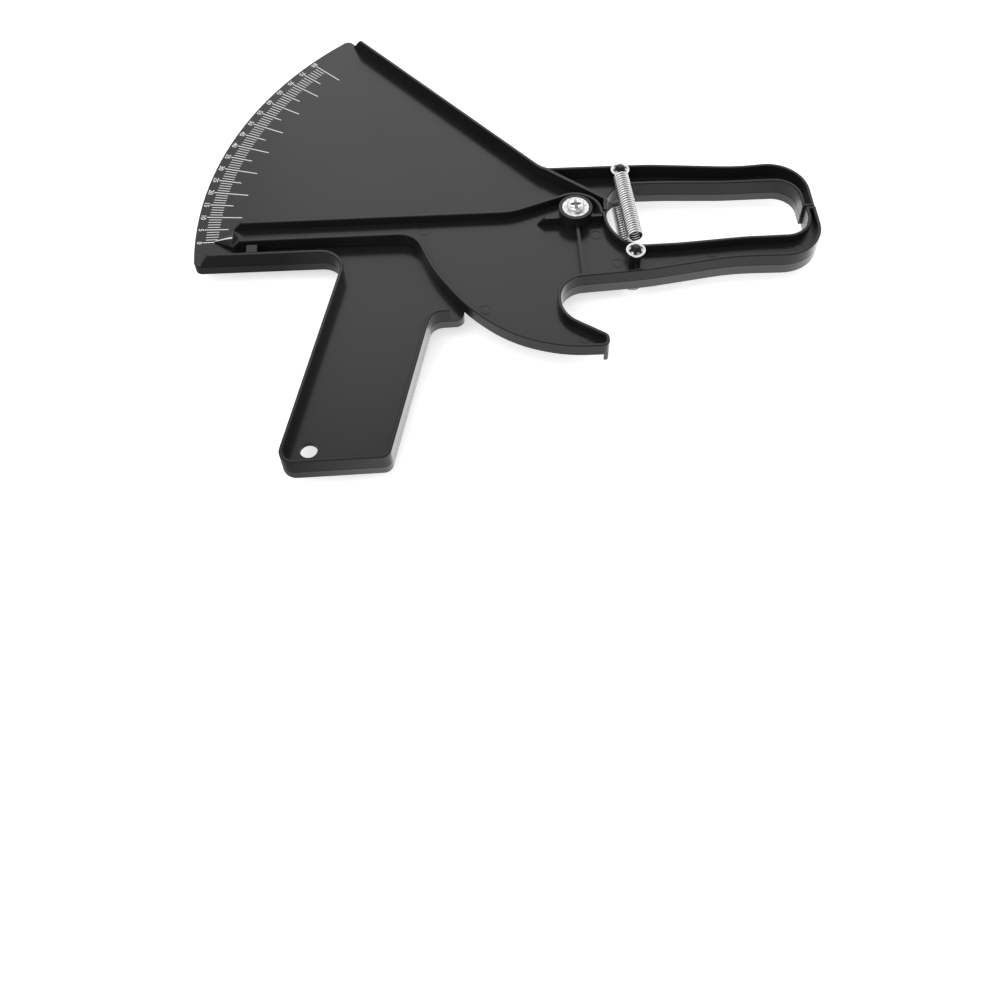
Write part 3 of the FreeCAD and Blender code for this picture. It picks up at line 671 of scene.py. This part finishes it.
def push_on_ring(node, body, outward, material):
    """Stamped ring whose teeth lean up against the pin."""
    low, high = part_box(node)
    middle = (low + high) / 2
    seat = low.z if outward > 0 else high.z
    outer = (high.x - low.x) / 2
    mesh = bmesh.new()
    profile = [
        Vector((outer, 0, 0)),
        Vector((RING_FLAT_INNER, 0, FLAT_RISE)),
        Vector(((RING_FLAT_INNER + TOOTH_TIP) / 2, 0, TOOTH_BELLY * TOOTH_RISE)),
        Vector((TOOTH_TIP, 0, TOOTH_RISE)),
    ]
    verts = [mesh.verts.new(point) for point in profile]
    edges = [mesh.edges.new(pair) for pair in zip(verts, verts[1:])]
    steps = RING_TEETH * RING_STEPS_PER_TOOTH
    bmesh.ops.spin(mesh, geom=verts + edges, cent=Vector(), axis=UP, dvec=Vector(),
                   angle=2 * math.pi, steps=steps, use_merge=True)
    gaps = []
    for face in mesh.faces:
        centre = face.calc_center_median()
        turn = math.atan2(centre.y, centre.x) / (2 * math.pi) * RING_TEETH
        toothed = math.hypot(centre.x, centre.y) < RING_FLAT_INNER
        if toothed and (turn % 1) < RING_GAP_STEPS / RING_STEPS_PER_TOOTH:
            gaps.append(face)
    bmesh.ops.delete(mesh, geom=gaps, context="FACES")
    bmesh.ops.recalc_face_normals(mesh, faces=mesh.faces)
    bmesh.ops.solidify(mesh, geom=mesh.faces[:], thickness=RING_GAUGE)
    low_point = min(vert.co.z for vert in mesh.verts)
    bmesh.ops.translate(mesh, vec=Vector((0, 0, -low_point)), verts=mesh.verts)
    if outward < 0:
        bmesh.ops.scale(mesh, vec=Vector((1, 1, -1)), verts=mesh.verts)
    bmesh.ops.translate(mesh, vec=Vector((middle.x, middle.y, seat)), verts=mesh.verts)
    bmesh.ops.recalc_face_normals(mesh, faces=mesh.faces)
    ring = finished(mesh, node + "_ring", material, smooth=False)
    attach(ring, body)
    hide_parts(node)


def dress(node, material):
    for slot in frame["nodes"][node].material_slots:
        slot.material = material


MARKS = surface_marks()
PARTING = parting_marks()

dress("frame", black_plastic("frame_plastic", FRAME_PARTING))
dress("lever", black_plastic("lever_plastic", LEVER_PARTING))
dress("pivot_screw", screw_nickel("bright_nickel"))
washer_steel = turned_steel("washer_steel")
dress("front_washer", washer_steel)
dress("back_washer", washer_steel)
dress("lock_nut", bright_metal("zinc_plate", ZINC_DARK, ZINC_LIGHT, ZINC_ROUGHNESS,
                               METAL_PATCHES))

marks_on_plate = scale_print()
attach(marks_on_plate, "frame_body")
line_on_pointer = pointer_line()
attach(line_on_pointer, "lever_body")

wire_steel = coil_wire("drawn_wire")
for spring_node in sorted(SPRING_ENDS):
    layer = SPRING_ENDS[spring_node][0].z
    face_name = spring_node.split("_")[0]
    pins = []
    for end_name in ("upper", "lower"):
        clip_low, clip_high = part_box(f"{end_name}_{face_name}_clip")
        pin = (clip_low + clip_high) / 2
        pin.z = layer
        pins.append(pin)
    extension_spring(spring_node, pins[0], pins[1], wire_steel)

ring_steel = bright_metal("stamped_steel", CLIP_DARK, CLIP_LIGHT, CLIP_ROUGHNESS, CLIP_PATCHES)
for end_name, body_name in (("upper", "frame_body"), ("lower", "lever_body")):
    push_on_ring(end_name + "_front_clip", body_name, 1, ring_steel)
    push_on_ring(end_name + "_back_clip", body_name, -1, ring_steel)


# ---- Floor, light and camera ----
FLOOR_SIZE = 4.0
FLOOR_GAP = 0.05 * MM          # between the floor and the lowest point of the object
FLOOR_GLOW = 0.6
MIRRORED_GLOW = 0.8            # of the table in glossy reflections, on its bright side
DIM_UNTIL_X = -135 * MM        # mirrored in the object, the table is dim left of this
BRIGHT_FROM_X = -78 * MM
TABLE_WHITE = (0.86, 0.86, 0.86)
TABLE_DIM = (0.25, 0.25, 0.25)
TABLE_ROUGHNESS = 0.9
ROOM_LIGHT = 0.75              # strength of the surroundings as a light
CEILING_MIDDLE = Vector((-0.05, -0.4, 0.92))
CEILING_INNER = math.radians(46)
CEILING_OUTER = math.radians(62)
CEILING_LIGHT = 0.3
KEY_LIGHT = ((-0.5, -0.5, 1.1), 0.9, 5.0)  # place, size and power
BACK_PANEL = ((0.0, 1.0, 0.9), 0.7, 0.8)
CAMERA_PLACE = Vector((-53.5, -375.8, 378.7)) * MM
CAMERA_AIM = Vector((0.023871, 0.526689, -0.849723))
CAMERA_ROLL = math.radians(-1.31)
CAMERA_LENS = 41.4
CAMERA_SENSOR = 36.0
CAMERA_NEAR = 0.01             # nothing closer is drawn


def white_surroundings():
    """White studio. Mirrors see a dark ceiling in it, above and behind the camera."""
    world = bpy.data.worlds.new("surroundings")
    bpy.context.scene.world = world
    world.use_nodes = True
    tree = world.node_tree
    background = tree.nodes["Background"]
    background.inputs["Color"].default_value = (1, 1, 1, 1)
    place = tree.nodes.new("ShaderNodeTexCoord")
    nearness = tree.nodes.new("ShaderNodeVectorMath")
    nearness.operation = "DOT_PRODUCT"
    tree.links.new(place.outputs["Generated"], nearness.inputs[0])
    nearness.inputs[1].default_value = CEILING_MIDDLE.normalized()
    mirrored = spread(tree, nearness.outputs["Value"], math.cos(CEILING_OUTER),
                      math.cos(CEILING_INNER), 1.0, CEILING_LIGHT)
    path = tree.nodes.new("ShaderNodeLightPath")
    seen = math_node(tree, "MAXIMUM", path.outputs["Is Camera Ray"],
                     path.outputs["Is Transmission Ray"])
    given = spread(tree, path.outputs["Is Diffuse Ray"], 0.0, 1.0, mirrored, ROOM_LIGHT)
    strength = spread(tree, seen, 0.0, 1.0, given, 1.0)
    tree.links.new(strength, background.inputs["Strength"])


def white_floor():
    mesh = bmesh.new()
    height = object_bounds()[0].z - FLOOR_GAP
    bmesh.ops.create_grid(mesh, x_segments=1, y_segments=1, size=FLOOR_SIZE / 2,
                          matrix=Matrix.Translation((0, 0, height)))
    material, tree, shader, place = new_material("white_table")
    shader.inputs["Roughness"].default_value = TABLE_ROUGHNESS
    shader.inputs["Specular IOR Level"].default_value = 0.0
    shader.inputs["Emission Color"].default_value = (1, 1, 1, 1)
    path = tree.nodes.new("ShaderNodeLightPath")
    split = tree.nodes.new("ShaderNodeSeparateXYZ")
    tree.links.new(place.outputs["Object"], split.inputs[0])
    brightness = spread(tree, split.outputs["X"], DIM_UNTIL_X, BRIGHT_FROM_X, 0.0, 1.0)
    dim = math_node(tree, "SUBTRACT", 1.0, brightness)
    dim = math_node(tree, "MULTIPLY", dim, path.outputs["Is Glossy Ray"])
    shade_between(tree, dim, TABLE_WHITE, TABLE_DIM, shader)
    glow = math_node(tree, "MULTIPLY", path.outputs["Is Glossy Ray"], brightness)
    glow = math_node(tree, "MULTIPLY", glow, MIRRORED_GLOW)
    seen = math_node(tree, "MULTIPLY", path.outputs["Is Camera Ray"], FLOOR_GLOW)
    tree.links.new(math_node(tree, "ADD", glow, seen), shader.inputs["Emission Strength"])
    floor = finished(mesh, "table", material, smooth=False)


def softbox(name, place, size, power):
    lamp = bpy.data.lights.new(name, "AREA")
    lamp.shape = "SQUARE"
    lamp.size = size
    lamp.energy = power
    box = bpy.data.objects.new(name, lamp)
    box.location = place
    box.rotation_euler = Vector(place).to_track_quat("Z", "Y").to_euler()
    bpy.context.scene.collection.objects.link(box)


def camera():
    data = bpy.data.cameras.new("camera")
    data.lens = CAMERA_LENS
    data.sensor_width = CAMERA_SENSOR
    data.clip_start = CAMERA_NEAR
    eye = bpy.data.objects.new("camera", data)
    bpy.context.scene.collection.objects.link(eye)
    aim = CAMERA_AIM.to_track_quat("-Z", "Y").to_matrix()
    roll = Matrix.Rotation(CAMERA_ROLL, 3, "Z")
    eye.matrix_world = Matrix.Translation(CAMERA_PLACE) @ (aim @ roll).to_4x4()
    bpy.context.scene.camera = eye


white_surroundings()
white_floor()
softbox("key_light", *KEY_LIGHT)
softbox("back_panel", *BACK_PANEL)
camera()
bpy.context.scene.view_settings.view_transform = "Standard"
